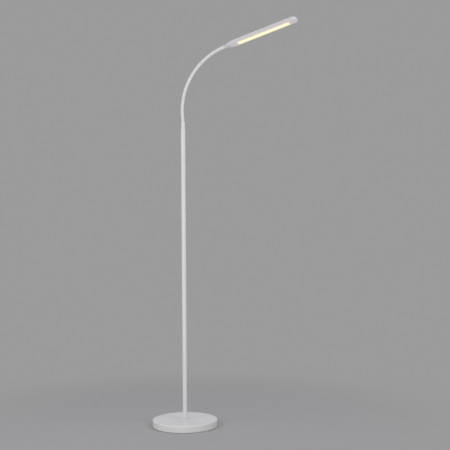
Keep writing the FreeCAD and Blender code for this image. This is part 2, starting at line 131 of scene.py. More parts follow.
# %% Set the camera
CAMERA_AT = Vector((1.0837, -3.0201, 0.744))
CAMERA_TURN = math.radians(17)
CAMERA_ROLL = 0.0070
PICTURE_WIDTH = 450
FOCAL_PIXELS = 863
SENSOR_WIDTH = 36
up = Vector((0, 0, 1))
look = Vector((-math.sin(CAMERA_TURN), math.cos(CAMERA_TURN), 0))
right = look.cross(up)
top = up * math.cos(CAMERA_ROLL) + right * math.sin(CAMERA_ROLL)
side = look.cross(top)
camera = bpy.data.objects.new("camera", bpy.data.cameras.new("camera"))
bpy.context.scene.collection.objects.link(camera)
camera.matrix_world = (Matrix.Translation(CAMERA_AT)
                       @ Matrix((side, top, -look)).transposed().to_4x4())
camera.data.sensor_width = SENSOR_WIDTH
camera.data.lens = FOCAL_PIXELS / PICTURE_WIDTH * SENSOR_WIDTH
bpy.context.scene.camera = camera
bpy.context.scene.view_settings.view_transform = "Standard"
print("lens %.1f mm" % camera.data.lens)

# %% [markdown]
# ## A bench for mesh making
# Nearly all of the lamp is turned work or bent tube. A turned part is an outline of radius and
# height carried round an axis. Blender's Screw modifier could do it, but plain code gives the
# count of sides, the closed centre and the placing in one step, and the outline can be rounded
# at each corner by its own radius, as a real edge is. The same code follows the bent neck when
# it is given another way to place its points.

# %% Make one piece from points and faces
CREASE_ANGLE = math.radians(32)
STEEP_ANGLE = math.radians(50)


def dress_edges(shape):
    """Smooth shading, with a crease where two faces meet steeply."""
    bench = bmesh.new()
    bench.from_mesh(shape.data)
    bmesh.ops.remove_doubles(bench, verts=bench.verts, dist=1e-7)
    bmesh.ops.recalc_face_normals(bench, faces=bench.faces)
    for face in bench.faces:
        face.smooth = True
    for edge in bench.edges:
        edge.smooth = len(edge.link_faces) == 2 and edge.calc_face_angle(0) < CREASE_ANGLE
    bench.to_mesh(shape.data)
    bench.free()
    return shape


def placed_object(name, data):
    """A new object in the scene, from its mesh or its lamp."""
    made = bpy.data.objects.new(name, data)
    bpy.context.scene.collection.objects.link(made)
    return made


def piece(name, points, faces):
    """A mesh from points in millimetres."""
    mesh = bpy.data.meshes.new(name)
    mesh.from_pydata([Vector(point) / 1000 for point in points], [], faces)
    return dress_edges(placed_object(name, mesh))


# %% Round the corners of an outline
def eased(corners, steps=6):
    """Turns (across, up, rounding) corners of a closed outline into points with rounded corners."""
    line = []
    for index, (across, up, rounding) in enumerate(corners):
        here = Vector((across, up))
        if not rounding:
            line.append(here)
            continue
        back = (Vector(corners[index - 1][:2]) - here).normalized()
        onward = (Vector(corners[(index + 1) % len(corners)][:2]) - here).normalized()
        half = back.angle(onward) / 2
        centre = here + (back + onward).normalized() * rounding / math.sin(half)
        start = here + back * rounding / math.tan(half) - centre
        end = here + onward * rounding / math.tan(half) - centre
        sweep = math.atan2(start.cross(end), start.dot(end))
        for step in range(steps + 1):
            line.append(centre + Matrix.Rotation(sweep * step / steps, 2) @ start)
    return line


# %% Turn an outline round an axis
def upright(radius, turn, height):
    """A point beside the upright axis."""
    return Vector((radius * math.cos(turn), radius * math.sin(turn), height))


def turned(name, outline, sides, place=upright):
    """A closed solid from a closed outline of (radius, height) points."""
    points, rings = [], []
    for radius, height in outline:
        count = 1 if radius < 1e-6 else sides
        rings.append([len(points) + step for step in range(count)])
        points += [place(radius, 2 * math.pi * step / sides, height) for step in range(count)]
    faces = []
    for ring, after in zip(rings, rings[1:] + rings[:1]):
        for step in range(sides):
            corners = [ring[step % len(ring)], ring[(step + 1) % len(ring)],
                       after[(step + 1) % len(after)], after[step % len(after)]]
            corners = list(dict.fromkeys(corners))
            if len(corners) > 2:
                faces.append(corners)
    return piece(name, points, faces)


def slab_faces(count):
    """The faces of a slab whose points are its lower outline and then its upper one."""
    ring = list(range(count))
    sides = [[index, (index + 1) % count, (index + 1) % count + count, index + count]
             for index in ring]
    return [ring[::-1], [index + count for index in ring]] + sides


# %% Cut holes and ease edges
def settle(shape):
    """Makes what the modifiers show the mesh itself."""
    bpy.context.view_layer.update()
    shown = shape.evaluated_get(bpy.context.evaluated_depsgraph_get())
    mesh = bpy.data.meshes.new_from_object(shown)
    shape.modifiers.clear()
    shape.data = mesh
    dress_edges(shape)


def cut(shape, *cutters):
    """Takes the cutters out of the shape."""
    for cutter in cutters:
        saw = shape.modifiers.new("saw", "BOOLEAN")
        saw.operation = "DIFFERENCE"
        saw.solver = "EXACT"
        saw.object = cutter
        settle(shape)
        bpy.data.objects.remove(cutter)
    return shape


def ease_edges(shape, width, segments=2):
    """Rounds every steep edge by a width in millimetres."""
    bevel = shape.modifiers.new("ease", "BEVEL")
    bevel.width = width / 1000
    bevel.segments = segments
    bevel.limit_method = "ANGLE"
    bevel.angle_limit = STEEP_ANGLE
    settle(shape)


def join(name, shapes):
    """Several solids as one piece."""
    bench = bmesh.new()
    for shape in shapes:
        bench.from_mesh(shape.data)
        bpy.data.objects.remove(shape)
    mesh = bpy.data.meshes.new(name)
    bench.to_mesh(mesh)
    bench.free()
    return dress_edges(placed_object(name, mesh))


# %% [markdown]
# ## Effects that several finishes share
# Paint, plastic and plate differ in their values, not in how they are drawn. So the fine grain
# of a surface, its slow drift of tone, the wear and painted highlight on edges and the dust on
# upward faces are each one node group with named sockets, and each material sets its own values.

# %% Start a node group
def effect(name, inputs, outputs):
    """An empty node group, with what is given to it and what results from it."""
    group = bpy.data.node_groups.new(name, "ShaderNodeTree")
    for label, kind, value in inputs:
        group.interface.new_socket(label, in_out="INPUT", socket_type=kind).default_value = value
    for label, kind in outputs:
        group.interface.new_socket(label, in_out="OUTPUT", socket_type=kind)
    given, result = group.nodes.new("NodeGroupInput"), group.nodes.new("NodeGroupOutput")
    return group, given.outputs, result.inputs


def node(tree, kind, values=None, **settings):
    """A node with its settings, and its sockets set to values or linked to other sockets."""
    made = tree.nodes.new(kind)
    for setting, value in settings.items():
        setattr(made, setting, value)
    for socket, value in (values or {}).items():
        if isinstance(value, bpy.types.NodeSocket):
            tree.links.new(value, made.inputs[socket])
        else:
            made.inputs[socket].default_value = value
    return made


def maths(tree, operation, *values, **settings):
    """One sum, as the socket that holds its result."""
    return node(tree, "ShaderNodeMath", dict(enumerate(values)), operation=operation,
                **settings).outputs[0]


def ramp(tree, value, low, high, curve="LINEAR"):
    """Zero at low, one at high, and held beyond them."""
    return node(tree, "ShaderNodeMapRange", {"Value": value, "From Min": low, "From Max": high},
                interpolation_type=curve).outputs["Result"]


def mixed(tree, share, colour, other):
    """A colour between two, by a share."""
    return node(tree, "ShaderNodeMix", {"Factor": share, "A": colour, "B": other},
                data_type="RGBA").outputs["Result"]


def own_place(tree):
    """Where a point is on its own object, so that a mark stays on a part that moves."""
    return node(tree, "ShaderNodeTexCoord").outputs["Object"]


def noise(tree, place, size, detail):
    """Soft patches from zero to one, smaller for a larger size value."""
    return node(tree, "ShaderNodeTexNoise", {"Vector": place, "Scale": size,
                                             "Detail": detail}).outputs["Fac"]


NUMBER, COLOUR, DIRECTION = "NodeSocketFloat", "NodeSocketColor", "NodeSocketVector"

# %% [markdown]
# ### Grain
# Powder coat is sprayed as dust and melts into a skin like very fine orange peel, one to two
# millimetres from bump to bump. Moulded plastic carries the sparkle of its etched tool, finer
# and sharper. Both are noise at two sizes. A texture image would show its tiles on the pole.

# %% The grain group
grain, given, result = effect("surface_grain", [
    ("Size", NUMBER, 900.0), ("Fineness", NUMBER, 4.0), ("Mix of fine", NUMBER, 0.35),
], [("Height", NUMBER)])
where = own_place(grain)
coarse = noise(grain, where, given["Size"], 2.0)
finer = maths(grain, "MULTIPLY", given["Size"], given["Fineness"])
both = node(grain, "ShaderNodeMix", {"Factor": given["Mix of fine"], "A": coarse,
                                     "B": noise(grain, where, finer, 1.0)})
grain.links.new(both.outputs["Result"], result["Height"])

# %% [markdown]
# ### Tone
# No painted surface is one colour. The coat is a touch thicker here and thinner there, and the
# sheen drifts with it. One slow noise shifts the colour and the roughness by a few percent.

# %% The tone group
tone, given, result = effect("slow_tone", [
    ("Colour", COLOUR, (0.8, 0.8, 0.8, 1)), ("Other colour", COLOUR, (0.75, 0.75, 0.75, 1)),
    ("Size", NUMBER, 9.0), ("Sheen", NUMBER, 0.4), ("Sheen drift", NUMBER, 0.06),
], [("Colour", COLOUR), ("Roughness", NUMBER)])
spread = ramp(tone, noise(tone, own_place(tone), given["Size"], 4.0), 0.32, 0.68)
tone.links.new(mixed(tone, spread, given["Colour"], given["Other colour"]),
               result["Colour"])
centred = maths(tone, "ADD", spread, -0.5)
tone.links.new(maths(tone, "MULTIPLY_ADD", centred, given["Sheen drift"],
                     given["Sheen"]), result["Roughness"])

# %% [markdown]
# ### Worn and highlit edges
# Hands and cloths polish an edge before they polish a face. The edge colour is partly that wear
# and partly a painted highlight, lighter than the face where a rounded edge would catch the light.
# The Bevel node gives the normal that a rounded edge would have. Where it turns away from the
# face's own normal there is an edge, and noise breaks the line up so that it doesn't look drawn
# with a ruler.

# %% The edge group
edges, given, result = effect("worn_and_highlit_edges", [
    ("Reach", NUMBER, 0.0008), ("Strength", NUMBER, 1.0), ("Breaks", NUMBER, 220.0),
], [("Mask", NUMBER)])
rounded = node(edges, "ShaderNodeBevel", {"Radius": given["Reach"]}, samples=4)
flat = node(edges, "ShaderNodeNewGeometry")
agree = node(edges, "ShaderNodeVectorMath", {0: rounded.outputs["Normal"],
                                             1: flat.outputs["Normal"]}, operation="DOT_PRODUCT")
away = ramp(edges, agree.outputs["Value"], 0.995, 0.85)
broken = ramp(edges, noise(edges, own_place(edges), given["Breaks"], 3.0), 0.35, 0.65)
edges.links.new(maths(edges, "MULTIPLY", maths(edges, "MULTIPLY", away, broken),
                      given["Strength"]), result["Mask"])

# %% [markdown]
# ### Dust
# A floor lamp's base gathers a thin film of dust on top, and none on its sides. The mask is the
# upward part of the normal times a patchy noise. It makes the paint a little duller and warmer.

# %% The dust group
dust, given, result = effect("settled_dust", [
    ("Amount", NUMBER, 0.15), ("Patches", NUMBER, 14.0),
], [("Mask", NUMBER)])
facing = node(dust, "ShaderNodeNewGeometry")
parts = node(dust, "ShaderNodeSeparateXYZ", {0: facing.outputs["Normal"]})
upward = ramp(dust, parts.outputs["Z"], 0.7, 1.0)
patches = noise(dust, own_place(dust), given["Patches"], 6.0)
dust.links.new(maths(dust, "MULTIPLY", maths(dust, "MULTIPLY", upward, patches),
                     given["Amount"]), result["Mask"])

# %% [markdown]
# ### Drawn lines
# Rolled and ground metal carries fine lines in one direction. They are noise squeezed along
# that direction, with the squeeze as an input so that each metal runs its own way.

# %% The drawn-line group
lines, given, result = effect("drawn_lines", [
    ("Stretch", DIRECTION, (1.0, 1.0, 0.02)), ("Size", NUMBER, 2600.0),
], [("Height", NUMBER)])
squeezed = node(lines, "ShaderNodeVectorMath", {0: own_place(lines), 1: given["Stretch"]},
                operation="MULTIPLY")
lines.links.new(noise(lines, squeezed.outputs["Vector"], given["Size"], 3.0),
                result["Height"])

# %% [markdown]
# ### How far inside the light strip
# The strip is brightest along its middle and fades to a deeper, warmer tone at its rim, and a
# little of its light is painted as a warm glow onto the white plastic round it. Both need the same
# measure: the depth of a point inside the strip's outline, which is negative outside it. Along the
# head it is a dot product with the head's own direction, and across the head it is plain Y. The
# rows of lights run the long way, so the strip fades in less space at its ends than at its sides.

# %% The strip group
STRIP_START = 50.15
STRIP_END = 249.85
STRIP_HALF_WIDTH = 17.85
along = Vector((math.cos(HEAD_PITCH), 0, math.sin(HEAD_PITCH)))
middle = along.dot(neck_centre(NECK_LENGTH)) + (STRIP_START + STRIP_END) / 2

inside_strip, given, result = effect("inside_strip", [
    ("Half length", NUMBER, (STRIP_END - STRIP_START) / 2000),
    ("Half width", NUMBER, STRIP_HALF_WIDTH / 1000), ("Steeper at ends", NUMBER, 2.5),
], [("Depth", NUMBER)])
where = own_place(inside_strip)
station = node(inside_strip, "ShaderNodeVectorMath", {0: where, 1: along}, operation="DOT_PRODUCT")
parts = node(inside_strip, "ShaderNodeSeparateXYZ", {0: where})
depths = []
for place, centre, limit in ((station.outputs["Value"], middle / 1000, "Half length"),
                             (parts.outputs["Y"], 0.0, "Half width")):
    away = maths(inside_strip, "ABSOLUTE", maths(inside_strip, "SUBTRACT", place, centre))
    depths.append(maths(inside_strip, "SUBTRACT", given[limit], away))
steeper = maths(inside_strip, "MULTIPLY", depths[0], given["Steeper at ends"])
inside_strip.links.new(maths(inside_strip, "MINIMUM", steeper, depths[1]), result["Depth"])
print("effects", [group.name for group in bpy.data.node_groups])

# %% [markdown]
# ## The finishes
# Each finish is a Principled shader fed by the groups. One helper wires the part that they all
# share: tone into colour and roughness, edges and dust over the colour, and grain into a Bump.
# What is the same all over, such as metallic or coat, is set on the shader's own socket.

# %% Mix a finish
DUST_COLOUR = (0.42, 0.40, 0.37, 1)


def placed(tree, group, values):
    """A node group in a material, with its values."""
    return node(tree, "ShaderNodeGroup", values, node_tree=group)


def new_material(name):
    """A material with its tree and its shader."""
    material = bpy.data.materials.new(name)
    material.use_nodes = True
    return material, material.node_tree, material.node_tree.nodes["Principled BSDF"]


def wire(tree, shader, colour, roughness, relief, bump, height):
    """Leads colour, roughness and a relief of some metres high into the shader."""
    bumps = node(tree, "ShaderNodeBump", {"Height": relief.outputs["Height"], "Strength": bump,
                                          "Distance": height})
    for value, socket in ((colour, "Base Color"), (roughness, "Roughness"),
                          (bumps.outputs["Normal"], "Normal")):
        tree.links.new(value, shader.inputs[socket])


def finish(name, colour, other, sheen, drift=0.06, tone_size=9.0, grain_size=900.0, fineness=4.0,
           fine_mix=0.35, bump=0.05, wear_and_highlight_colour=None, edge_reach=0.0008, edge_strength=0.5,
           dust_amount=0.0, stretch=None, **shader_values):
    """A material with drifting tone, grain, worn edges with a painted highlight, and dust."""
    material, tree, shader = new_material(name)
    material.diffuse_color = (*colour, 1)
    base = placed(tree, tone, {"Colour": (*colour, 1), "Other colour": (*other, 1),
                               "Size": tone_size, "Sheen": sheen, "Sheen drift": drift})
    shown = base.outputs["Colour"]
    if wear_and_highlight_colour:
        # The lighter edge colour is partly wear and partly a painted highlight on rounded edges.
        worn_and_highlit = placed(tree, edges, {"Reach": edge_reach, "Strength": edge_strength})
        shown = mixed(tree, worn_and_highlit.outputs["Mask"], shown, (*wear_and_highlight_colour, 1))
    if dust_amount:
        film = placed(tree, dust, {"Amount": dust_amount})
        shown = mixed(tree, film.outputs["Mask"], shown, DUST_COLOUR)
    if stretch:
        relief = placed(tree, lines, {"Stretch": stretch, "Size": grain_size})
    else:
        relief = placed(tree, grain, {"Size": grain_size, "Fineness": fineness,
                                      "Mix of fine": fine_mix})
    wire(tree, shader, shown, base.outputs["Roughness"], relief, bump, 0.0002)
    for socket, value in shader_values.items():
        shader.inputs[socket.replace("_", " ")].default_value = value
    return material


# %% [markdown]
# ### White paint
# The base, pole and ferrules are steel under a satin white powder coat. The paint of the neck is
# softer, because it has to bend. The head is painted aluminium, smoother and a shade greyer. All
# are a neutral white that is slightly below full white, so that rims can still catch more light.

# %% The whites
# The lighter edge colours of the whites are a painted highlight on rounded edges as well as wear.
white_coat = finish("white_powder_coat", (0.665,) * 3, (0.645, 0.645, 0.65), 0.40,
                    bump=0.12, grain_size=700, wear_and_highlight_colour=(0.74, 0.74, 0.735), dust_amount=0.05)
neck_coat = finish("white_neck_coat", (0.66, 0.66, 0.665), (0.64, 0.64, 0.65), 0.46, bump=0.08,
                   tone_size=22, grain_size=1400, wear_and_highlight_colour=(0.72,) * 3,
                   edge_reach=0.0003, edge_strength=0.4)
head_coat = finish("white_head_coat", (0.58, 0.575, 0.59), (0.56, 0.555, 0.575), 0.38, bump=0.04,
                   grain_size=1100, wear_and_highlight_colour=(0.68, 0.68, 0.69), edge_strength=0.3,
                   dust_amount=0.04)
cover_white = finish("white_moulding", (0.72, 0.715, 0.735), (0.70, 0.695, 0.715), 0.50, bump=0.10,
                     grain_size=2600, fineness=2.5, fine_mix=0.6, wear_and_highlight_colour=(0.76, 0.76, 0.77),
                     edge_reach=0.0004, Emission_Strength=1.0)
# The white moulding's emission is a painted glow: the strip's light, painted onto the plastic next
# to the window.
PAINTED_GLOW_REACH = 0.007
PAINTED_GLOW_COLOUR = (0.30, 0.17, 0.05, 1)
tree = cover_white.node_tree
depth = placed(tree, inside_strip, {}).outputs["Depth"]
painted_glow = ramp(tree, depth, -PAINTED_GLOW_REACH, 0.0, "SMOOTHSTEP")
tree.links.new(mixed(tree, painted_glow, (0, 0, 0, 1), PAINTED_GLOW_COLOUR),
               tree.nodes["Principled BSDF"].inputs["Emission Color"])
cover_white.cycles.emission_sampling = "NONE"

# %% [markdown]
# ### Metals, rubber and boards
# What is inside or underneath is seen only when the lamp is turned over or taken apart, but it
# is finished all the same: zinc plate with a bluish cast, a paler zinc on the small screws of the
# head, black primed iron that is rough from the mould, foam rubber full of pores, and the
# boards' lacquer over fine copper.

# %% The other finishes
zinc_plate = finish("zinc_plate", (0.56, 0.58, 0.61), (0.50, 0.51, 0.52), 0.34, drift=0.16,
                    tone_size=60, grain_size=2600, bump=0.10, stretch=(1.0, 1.0, 0.05),
                    wear_and_highlight_colour=(0.72, 0.73, 0.74), Metallic=1.0)
bright_zinc = finish("bright_zinc", (0.82, 0.82, 0.83), (0.76, 0.76, 0.78), 0.42, drift=0.10,
                     tone_size=90, grain_size=2600, bump=0.08, stretch=(1.0, 1.0, 0.05),
                     wear_and_highlight_colour=(0.88,) * 3, edge_reach=0.0003, Metallic=0.6)
cast_iron = finish("primed_cast_iron", (0.030, 0.030, 0.033), (0.055, 0.052, 0.050), 0.62,
                   drift=0.2, tone_size=40, grain_size=420, bump=0.55,
                   wear_and_highlight_colour=(0.16, 0.15, 0.14), edge_strength=0.8)
foam_rubber = finish("foam_rubber", (0.022,) * 3, (0.038, 0.037, 0.036), 0.82,
                     tone_size=70, grain_size=1500, fine_mix=0.6, bump=0.6,
                     wear_and_highlight_colour=(0.07, 0.07, 0.068), edge_strength=0.6)
lead_sheath = finish("lead_sheath", (0.55, 0.55, 0.54), (0.50, 0.50, 0.49), 0.55, tone_size=50,
                     grain_size=2200, bump=0.12)
socket_black = finish("socket_moulding", (0.020, 0.020, 0.021), (0.030,) * 3, 0.40,
                      tone_size=120, grain_size=4200, bump=0.15, wear_and_highlight_colour=(0.09,) * 3,
                      edge_reach=0.0003)
spring_brass = finish("spring_brass", (0.62, 0.43, 0.17), (0.50, 0.33, 0.13), 0.30, drift=0.15,
                      tone_size=200, grain_size=5200, bump=0.1, stretch=(0.05, 1.0, 1.0),
                      wear_and_highlight_colour=(0.78, 0.62, 0.33), edge_reach=0.0003, Metallic=1.0)
rolled_sheet = finish("rolled_aluminium", (0.70, 0.71, 0.72), (0.62, 0.63, 0.64), 0.36, drift=0.14,
                      tone_size=30, grain_size=2400, bump=0.12, stretch=(0.03, 1.0, 1.0),
                      wear_and_highlight_colour=(0.82, 0.82, 0.83), Metallic=1.0)
white_board = finish("white_board_lacquer", (0.72, 0.73, 0.71), (0.66, 0.67, 0.65), 0.32,
                     tone_size=90, grain_size=3000, bump=0.06, wear_and_highlight_colour=(0.55, 0.50, 0.34),
                     edge_reach=0.0003, Coat_Weight=0.3)
green_board = finish("green_board_lacquer", (0.010, 0.090, 0.035), (0.020, 0.130, 0.055), 0.28,
                     tone_size=160, grain_size=3000, bump=0.08, wear_and_highlight_colour=(0.42, 0.40, 0.24),
                     edge_reach=0.0003, Coat_Weight=0.3)
key_gloss = finish("key_moulding", (0.44, 0.445, 0.45), (0.41, 0.415, 0.42), 0.20, tone_size=80,
                   grain_size=2400, bump=0.03, wear_and_highlight_colour=(0.58,) * 3, edge_reach=0.0003,
                   Coat_Weight=0.4)

# %% [markdown]
# ### The light strip
# The diffuser is opal plastic with rows of small warm lights behind it. It shows an even warm
# white that turns deeper towards its rim, where less light gets through. It could be real lamps
# behind a translucent plate, but that is slow and noisy and the eye sees the same thing. So the
# plate itself glows, and its depth inside the strip's outline holds back the rim. The glow is
# dim beside the studio's lamps and isn't counted among them, because the renderer would spend
# its samples on lights that the head hides, and the head would look grainy.

# %% The lit finishes
def lit(name, core, rim, strength, soft):
    """A glowing surface whose colour deepens towards the rim of the strip."""
    material, tree, shader = new_material(name)
    depth = placed(tree, inside_strip, {}).outputs["Depth"]
    near_rim = ramp(tree, depth, soft, 0.0, "SMOOTHSTEP")
    cloud = noise(tree, own_place(tree), 35.0, 2.0)
    uneven = maths(tree, "MULTIPLY_ADD", cloud, 0.12, near_rim)
    fine = placed(tree, grain, {"Size": 3200.0, "Fineness": 2.0, "Mix of fine": 0.5})
    sheen = placed(tree, tone, {"Colour": (0.30, 0.29, 0.26, 1),
                                "Other colour": (0.27, 0.26, 0.23, 1),
                                "Size": 30.0, "Sheen": 0.45, "Sheen drift": 0.08})
    wire(tree, shader, sheen.outputs["Colour"], sheen.outputs["Roughness"], fine, 0.05, 0.0001)
    tree.links.new(mixed(tree, uneven, (*core, 1), (*rim, 1)), shader.inputs["Emission Color"])
    shader.inputs["Emission Strength"].default_value = strength
    material.cycles.emission_sampling = "NONE"
    return material


lit_opal = lit("lit_opal", (1.0, 0.90, 0.58), (0.90, 0.62, 0.31), 0.88, 0.008)
lit_phosphor = lit("lit_phosphor", (1.0, 0.86, 0.42), (1.0, 0.80, 0.34), 1.2, 0.001)
print("finishes", len(bpy.data.materials))

# %% [markdown]
# ## Fitting a piece to the model
# A new piece needs its finish, the body that it moves with and the measured node that it
# stands for, which it hides. One helper says all three, so that no piece is forgotten. Flat faces
# next to rounded ones would shade as if they were curved, so a Weighted Normal modifier keeps the
# large faces flat.

# %% Fit a piece
def fit(shape, material, body, replaced):
    """Gives a piece its finish, its body and the measured node that it stands for."""
    shape.data.materials.clear()
    shape.data.materials.append(material)
    shape.modifiers.new("even_shading", "WEIGHTED_NORMAL").keep_sharp = True
    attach(shape, body)
    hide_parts(replaced)
    size = [round(length * 1000, 1) for length in shape.dimensions]
    print("%-22s %6d faces  %s mm" % (shape.name, len(shape.data.polygons), size))
    return shape


# %% [markdown]
# ## The base
# The base is a pressed steel cover over an iron weight, closed from below by a plate with a
# foam pad. The cover's rim is rounded by about 3 mm, and that rim catches the light as a thin
# bright line all the way round. The lower edge has a small roll. The outline is drawn with its
# wall, so the cover is hollow as the real one is.

# %% The cover, with the hole for the socket
DISC_SIDES = 256
BORE_SIDES = 48
ROD_HOLE = 5.3
BARREL_RADIUS = 4.0
COVER_FOOT = 1.0
COVER_BORE = BASE_RADIUS - BASE_WALL
COVER_CEILING = BASE_HEIGHT - BASE_WALL
cover = turned("base_shell", eased([
    (ROD_HOLE, BASE_HEIGHT, 0), (BASE_RADIUS, BASE_HEIGHT, 3.0), (BASE_RADIUS, COVER_FOOT, 0.5),
    (COVER_BORE, COVER_FOOT, 0.5), (COVER_BORE, COVER_CEILING, 1.8),
    (ROD_HOLE, COVER_CEILING, 0)]), DISC_SIDES)


def far_side(radius, turn, height):
    """Outwards through the wall on the far side, where the socket is."""
    return Vector((radius * math.cos(turn), BASE_RADIUS + height,
                   SOCKET_HEIGHT + radius * math.sin(turn)))


def drill(steps, sides, place):
    """A tool for cut: what it takes away, as (radius, height) points from its tip on its axis."""
    return turned("drill", [(0, steps[0][1])] + steps + [(0, steps[-1][1])], sides, place)


cut(cover, drill([(BARREL_RADIUS + 0.05, -6), (BARREL_RADIUS + 0.05, 4)], BORE_SIDES, far_side))
fit(cover, white_coat, "stand", "base_cover")

# %% The plate, the pad and their screws
SCREW_CIRCLE = 70
SCREW_SIDES = 32
PAD_THICKNESS = 2.0
PLATE_TOP = 3.5
PLATE_RADIUS = 118.4
PAD_RADIUS = 112
screw_places = [upright(SCREW_CIRCLE, math.radians(angle), 0) for angle in (45, 135, 225, 315)]


def drills(radius, low, high):
    """Four drills, one at each screw of the base."""
    return [drill([(radius, low), (radius, high)], SCREW_SIDES,
                  lambda r, turn, z, at=place: upright(r, turn, z) + at) for place in screw_places]


plate = turned("bottom_plate", eased([
    (0, PAD_THICKNESS, 0), (PLATE_RADIUS, PAD_THICKNESS, 0.4), (PLATE_RADIUS, PLATE_TOP, 0.4),
    (0, PLATE_TOP, 0)], 3), DISC_SIDES)
fit(cut(plate, *drills(2.05, 1, 5)), zinc_plate, "stand", "base_plate")
pad = turned("floor_pad", eased([
    (0, 0, 0), (PAD_RADIUS, 0, 0.6), (PAD_RADIUS, PAD_THICKNESS, 0.3), (0, PAD_THICKNESS, 0)], 4),
    DISC_SIDES)
fit(cut(pad, *drills(5.0, -1, 3)), foam_rubber, "stand", "base_pad")

# %% [markdown]
# ### Screws
# The screws have low rounded heads with a cross recess. A screw is turned as one outline and the
# cross is cut into it with a four-armed star that narrows inwards, as the real punch is. The
# same function makes those of the base and the smaller ones of the head.

# %% Make a screw
SCREW_HEAD_HEIGHT = 1.2


def cross_punch(width, reach, face, depth):
    """A cross that narrows to its bottom, from a face upwards into the head of the screw."""
    points = []
    for level, share in ((face - 0.4, 1.15), (face + depth, 0.55)):
        far, half = reach * share, width * share / 2
        for arm in range(4):
            turn = math.pi / 2 * arm
            for x, y in ((far, -half), (far, half), (half, half)):
                points.append(Vector((x * math.cos(turn) - y * math.sin(turn),
                                      x * math.sin(turn) + y * math.cos(turn), level)))
    return points


def screw(shank, head, length, face, place):
    """Head down, with its face at a height, the shank upwards."""
    under_head = face + SCREW_HEAD_HEIGHT
    outline = eased([(0, face, 0), (head, face, SCREW_HEAD_HEIGHT * 0.45), (head, under_head, 0),
                     (shank, under_head, 0), (shank, face + length, shank * 0.3),
                     (0, face + length, 0)], 4)
    body = turned("screw", outline, SCREW_SIDES, lambda r, turn, z: place(upright(r, turn, z)))
    punch = cross_punch(head * 0.28, head * 0.62, face, SCREW_HEAD_HEIGHT * 0.7)
    return cut(body, piece("punch", [place(point) for point in punch], slab_faces(len(punch) // 2)))


plate_screws = join("plate_screw_set", [
    screw(2.0, 3.75, 9.7, 0.8, lambda point, at=place: point + at) for place in screw_places])
fit(plate_screws, zinc_plate, "stand", "plate_screws")

# %% [markdown]
# ### The power socket
# A barrel socket looks out of the back of the base: a thin flange against the wall, a dark bore
# and a bright centre pin. It is turned on an axis through the wall.

# %% The socket
BARREL_END = -13.2
RIM_RADIUS = 5.3
RIM_TOP = 1.2
BORE_RADIUS = 2.75
BORE_END = -7.8
PIN_RADIUS = 1.05
PIN_TOP = -0.3
socket = turned("barrel_socket", eased([
    (0, BARREL_END, 0), (BARREL_RADIUS, BARREL_END, 0.3), (BARREL_RADIUS, 0, 0), (RIM_RADIUS, 0, 0),
    (RIM_RADIUS, RIM_TOP, 0.4), (BORE_RADIUS, RIM_TOP, 0.3), (BORE_RADIUS, BORE_END, 0),
    (PIN_RADIUS, BORE_END, 0), (PIN_RADIUS, PIN_TOP, 0.6), (0, PIN_TOP, 0)], 4),
    BORE_SIDES, far_side)
fit(socket, socket_black, "stand", "power_socket")

# %% [markdown]
# ## The pole
# The pole is three lengths of 16 mm tube over inner joiners. Painted tube ends are broken by a
# small chamfer, so a seam shows as a hairline when one comes close. A shallow collar hides the
# hole where the pole meets the base, and reads as a soft ring in the light.

# %% The tubes and the collar
ROUND_SIDES = 96
COLLAR_BORE = 8.12
COLLAR_RADIUS = 13.0
COLLAR_TOP = 28.4
for name in ("pole_lower", "pole_middle", "pole_upper"):
    low, high = (corner.z * 1000 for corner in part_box(name))
    tube = turned(name.replace("pole", "tube"), eased([
        (POLE_BORE, low, 0.15), (POLE_RADIUS, low, 0.3), (POLE_RADIUS, high, 0.3),
        (POLE_BORE, high, 0.15)], 3), ROUND_SIDES)
    fit(tube, white_coat, "stand", name)

collar = turned("pole_collar", eased([
    (COLLAR_BORE, BASE_HEIGHT, 0), (COLLAR_RADIUS, BASE_HEIGHT, 0),
    (COLLAR_RADIUS, COLLAR_TOP, 1.0), (COLLAR_BORE, COLLAR_TOP, 0.4)]), ROUND_SIDES)
fit(collar, white_coat, "stand", "foot_collar")

# %% [markdown]
# ## The neck
# The neck is a steel wire wound into a tube with a second wire pressed into its groove, and
# coated white. Its skin shows fine ribs that run round it as a shallow screw thread. The real
# neck bends evenly; the model has a hinge every 21.5 mm. A skin stretched across the hinges would
# bend more smoothly, but it can tear where many hinges turn at once. So each link has a ribbed
# sleeve of its own, and a ball centred on the hinge fills the narrow ring between two sleeves. A
# ball looks the same however the hinge turns, and the ring reads as one more groove.

# %% Points round the bent neck
RIB_PITCH = 2.3
RIB_DEPTH = 0.22
RIB_STEPS = 8
RIB_ROUNDNESS = 0.97
NECK_SIDES = 40
NECK_BORE = 4.2
BALL_RADIUS = 5.2
BALL_REACH = 2.4
BALL_STEPS = 6
CUP_RADIUS = 5.28
CUP_DEPTH = 4.0
HALF_GAP = 0.75


def round_neck(radius, turn, length):
    """A point beside the neck's centre line, square to it."""
    angle = neck_angle(length)
    outwards = Vector((math.cos(angle), 0, -math.sin(angle)))
    sideways = Vector((0, radius * math.sin(turn), 0))
    return neck_centre(length) + outwards * radius * math.cos(turn) + sideways


def ribbed(radius, turn, length):
    """As round_neck, with half-round ribs that wind up whatever has the full radius."""
    if radius == NECK_RADIUS:
        share = (length / RIB_PITCH + turn / (2 * math.pi)) % 1
        radius -= RIB_DEPTH * (1 - math.sqrt(1 - RIB_ROUNDNESS * (2 * share - 1) ** 2))
    return round_neck(radius, turn, length)


def ball(hinge, below, above):
    """The outline of the ball round a hinge, from a distance below it to one above it."""
    levels = [(below + above) * step / BALL_STEPS - below for step in range(BALL_STEPS + 1)]
    return [(math.sqrt(BALL_RADIUS ** 2 - level ** 2), hinge + level) for level in levels]


